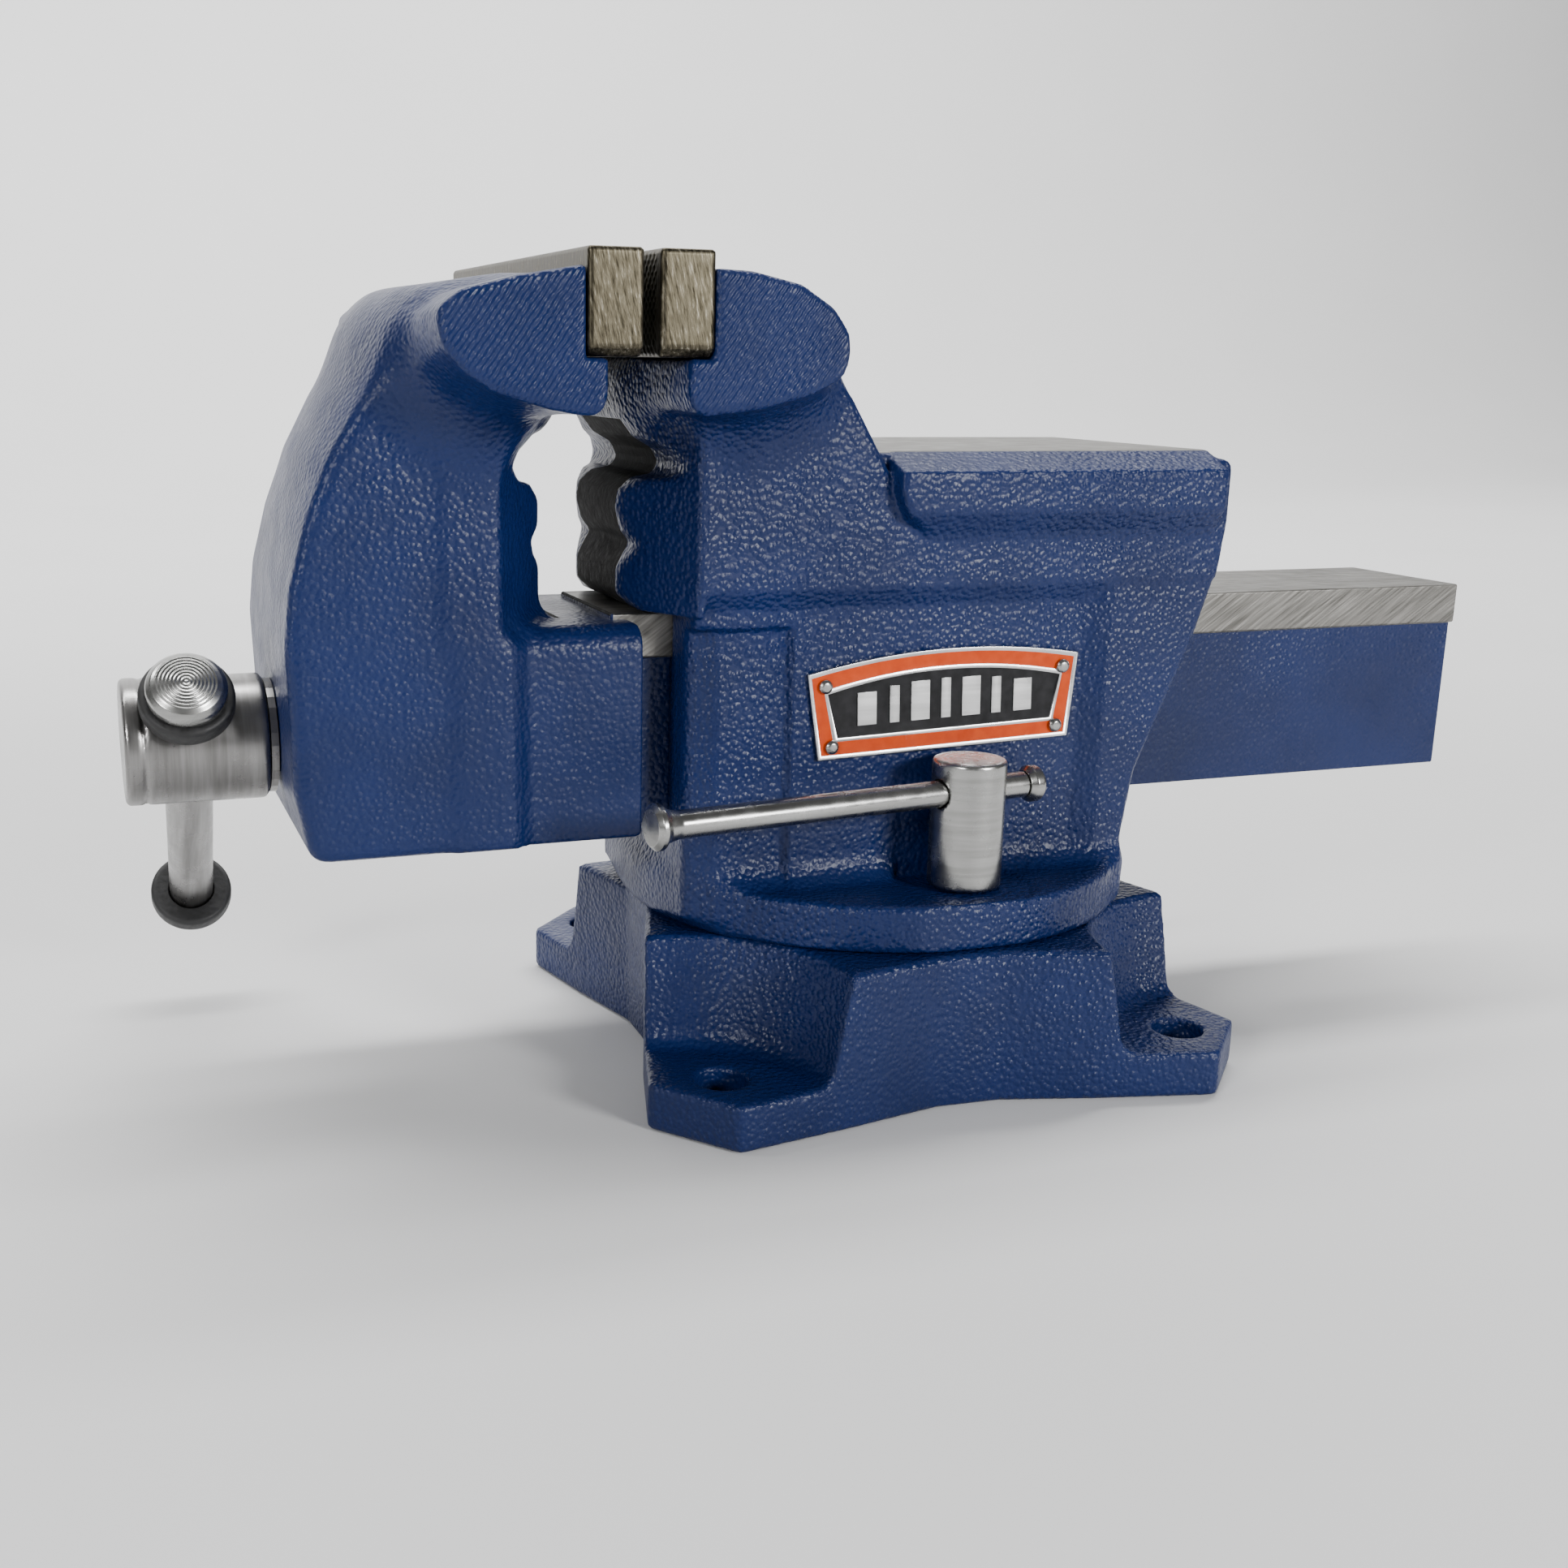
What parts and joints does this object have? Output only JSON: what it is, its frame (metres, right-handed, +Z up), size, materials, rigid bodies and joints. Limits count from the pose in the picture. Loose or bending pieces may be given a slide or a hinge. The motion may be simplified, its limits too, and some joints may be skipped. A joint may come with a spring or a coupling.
{
  "type": "bench vise",
  "caption": "Swivel-base bench vise with sliding front jaw, serrated jaw plates, pipe jaws, flat anvil, T-handle screw and lock-down nuts.",
  "frame": {"origin": "on the swivel axis, at the underside of the base", "axes": "+X along the slide towards its tail (the spindle head is at -X), +Z up, the nameplate side faces -Y"},
  "size_m": [0.4424, 0.1986, 0.2403],
  "materials": {
    "paint": "glossy enamel over a pebbled casting",
    "jaw_steel": "ground, darkened",
    "steel": "satin",
    "nut_iron": "rough",
    "chrome": "polished",
    "rubber": "matt",
    "nameplate": "enamelled"
  },
  "bodies": {
    "base": {"swivel_base": "paint"},
    "body": {"vise_body": "paint", "rear_jaw_plate": "jaw_steel", "rear_jaw_plate_screw_1": "jaw_steel", "rear_jaw_plate_screw_2": "jaw_steel", "main_nut": "nut_iron", "nut_bolt": "steel", "lock_bolt_front": "steel", "lock_bolt_rear": "steel", "nameplate": "nameplate", "nameplate_rivet_1": "chrome", "nameplate_rivet_2": "chrome", "nameplate_rivet_3": "chrome", "nameplate_rivet_4": "chrome"},
    "jaw": {"moving_jaw": "paint", "front_jaw_plate": "jaw_steel", "front_jaw_plate_screw_1": "jaw_steel", "front_jaw_plate_screw_2": "jaw_steel", "return_spring": "steel"},
    "screw": {"spindle": "steel", "thrust_washer": "steel", "retaining_collar": "steel", "collar_pin": "steel"},
    "handle": {"handle_bar": "steel", "handle_ring_upper": "rubber", "handle_knob_upper": "chrome", "handle_ring_lower": "rubber", "handle_knob_lower": "chrome"},
    "lock_front": {"lock_nut_front": "chrome"},
    "lock_lever_front": {"lock_bar_front": "chrome", "lock_bar_cap_front": "chrome"},
    "lock_rear": {"lock_nut_rear": "chrome"},
    "lock_lever_rear": {"lock_bar_rear": "chrome", "lock_bar_cap_rear": "chrome"}
  },
  "joints": [
    {"name": "swivel", "type": "hinge", "parent": "base", "child": "body", "pos_m": [0, 0, 0], "axis": [0, 0, 1], "continuous": true},
    {"name": "jaw_slide", "type": "slide", "parent": "body", "child": "jaw", "axis": [1, 0, 0], "range_m": [-0.146, 0.004]},
    {"name": "spindle_turn", "type": "hinge", "parent": "jaw", "child": "screw", "pos_m": [0, 0, 0.1069], "axis": [1, 0, 0], "range_deg": [-10560, 300]},
    {"name": "handle_slide", "type": "slide", "parent": "screw", "child": "handle", "axis": [-0.0349, -0.7542, 0.6557], "range_m": [0, 0.083]},
    {"name": "lock_turn_front", "type": "hinge", "parent": "body", "child": "lock_front", "pos_m": [0.003, -0.0607, 0.08], "axis": [0, 0, 1], "range_deg": [-9, 5]},
    {"name": "lock_lever_slide_front", "type": "slide", "parent": "lock_front", "child": "lock_lever_front", "axis": [-0.9912, -0.1323, 0], "range_m": [-0.018, 0.007]},
    {"name": "lock_turn_rear", "type": "hinge", "parent": "body", "child": "lock_rear", "pos_m": [0.003, 0.0607, 0.08], "axis": [0, 0, 1], "range_deg": [-9, 5]},
    {"name": "lock_lever_slide_rear", "type": "slide", "parent": "lock_rear", "child": "lock_lever_rear", "axis": [0.9912, 0.1323, 0], "range_m": [-0.018, 0.007]}
  ],
  "couplings": [
    {"joint": "spindle_turn", "follows": "jaw_slide", "rad_per_m": 1256.6}
  ]
}
